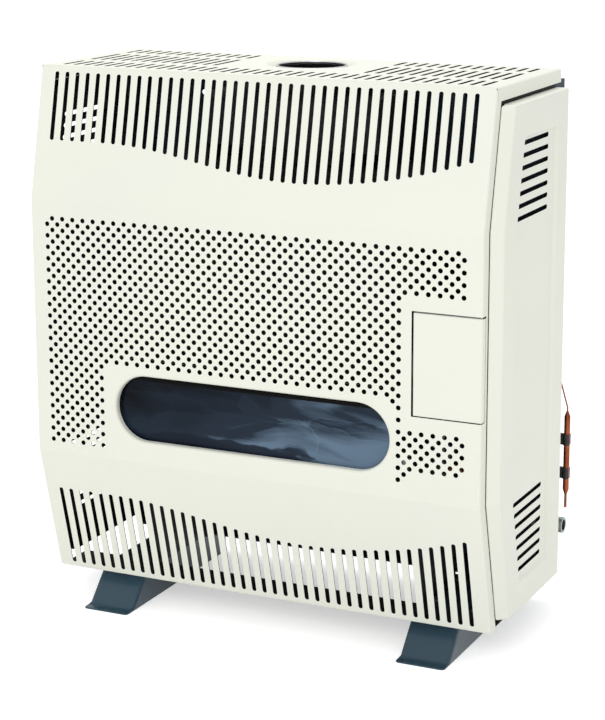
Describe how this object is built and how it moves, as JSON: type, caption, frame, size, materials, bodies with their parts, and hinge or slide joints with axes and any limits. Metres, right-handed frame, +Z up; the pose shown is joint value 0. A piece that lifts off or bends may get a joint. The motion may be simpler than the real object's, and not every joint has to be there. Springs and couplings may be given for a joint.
{
  "type": "flued gas room heater",
  "caption": "Free-standing flued gas room heater with a perforated steel casing, a long viewing window, a hinged control door and a top flue outlet.",
  "frame": {"origin": "centre of the bounding box, on the floor", "axes": "+X to the right seen from the front, +Y towards the wall, +Z up"},
  "size_m": [0.648, 0.308, 0.72],
  "materials": {
    "cream_enamel": "satin baked enamel",
    "blue_grey_enamel": "glossy baked enamel",
    "black_steel": "satin heat-proof black",
    "zinc_steel": "zinc-plated steel sheet",
    "window_glass": "heat-resistant glass, clear and glossy",
    "gasket_fibre": "heat-proof fibre",
    "aluminised_steel": "aluminised",
    "brass": "machined",
    "copper": "drawn copper",
    "ceramic": "glazed ceramic",
    "valve_aluminium": "die-cast",
    "knob_plastic": "moulded",
    "button_plastic": "moulded",
    "black_plastic": "moulded",
    "lead_sleeve": "heat-proof sleeve"
  },
  "bodies": {
    "casing": {"front_panel": "cream_enamel", "top_panel": "cream_enamel", "side_panel_left": "cream_enamel", "side_panel_right": "cream_enamel", "hinge_pins": "zinc_steel", "door_magnet": "black_plastic", "side_panel_screws": "zinc_steel", "foot_left": "blue_grey_enamel", "foot_right": "blue_grey_enamel", "rear_frame": "blue_grey_enamel", "foot_bolts": "zinc_steel", "chamber_support_left": "zinc_steel", "chamber_support_right": "zinc_steel", "heat_shield": "zinc_steel", "control_plate": "zinc_steel", "plate_screws": "zinc_steel", "sight_glass": "window_glass", "sight_frame": "black_steel", "sight_gasket": "gasket_fibre", "sight_screws": "zinc_steel", "combustion_chamber": "black_steel", "chamber_baffle": "black_steel", "burner": "aluminised_steel", "burner_flange": "zinc_steel", "injector": "brass", "injector_holder": "brass", "pilot_bracket": "zinc_steel", "pilot_burner": "brass", "thermocouple": "copper", "ignition_electrode": "ceramic", "draught_hood": "zinc_steel", "diverter_baffle": "zinc_steel", "flue_spigot": "aluminised_steel", "spill_switch": "black_plastic", "spill_leads": "lead_sleeve", "gas_valve": "valve_aluminium", "piezo_igniter": "black_plastic", "piezo_nut": "zinc_steel", "inlet_fitting": "brass", "inlet_pipe": "copper", "union_nut": "brass", "feed_pipe": "copper", "pilot_pipe": "valve_aluminium", "thermocouple_lead": "copper", "ignition_lead": "lead_sleeve", "capillary_tube": "copper", "thermostat_bulb": "copper", "bulb_clips": "black_plastic"},
    "door": {"control_door": "cream_enamel"},
    "plunger": {"safety_plunger": "brass"},
    "knob": {"control_knob": "knob_plastic", "valve_spindle": "zinc_steel"},
    "piezo_push": {"piezo_button": "button_plastic"}
  },
  "joints": [
    {"name": "door_hinge", "type": "hinge", "parent": "casing", "child": "door", "pos_m": [0.3062, -0.15, 0.3895], "axis": [0, 0, 1], "range_deg": [0, 110]},
    {"name": "knob_push", "type": "slide", "parent": "casing", "child": "plunger", "axis": [0, 1, 0], "range_m": [0, 0.005], "stiffness_N_per_m": 400, "springref_m": -0.004},
    {"name": "knob_turn", "type": "hinge", "parent": "plunger", "child": "knob", "pos_m": [0.258, -0.128, 0.404], "axis": [0, 1, 0], "range_deg": [0, 270]},
    {"name": "igniter_press", "type": "slide", "parent": "casing", "child": "piezo_push", "axis": [0, 1, 0], "range_m": [0, 0.007], "stiffness_N_per_m": 600, "springref_m": -0.004}
  ]
}
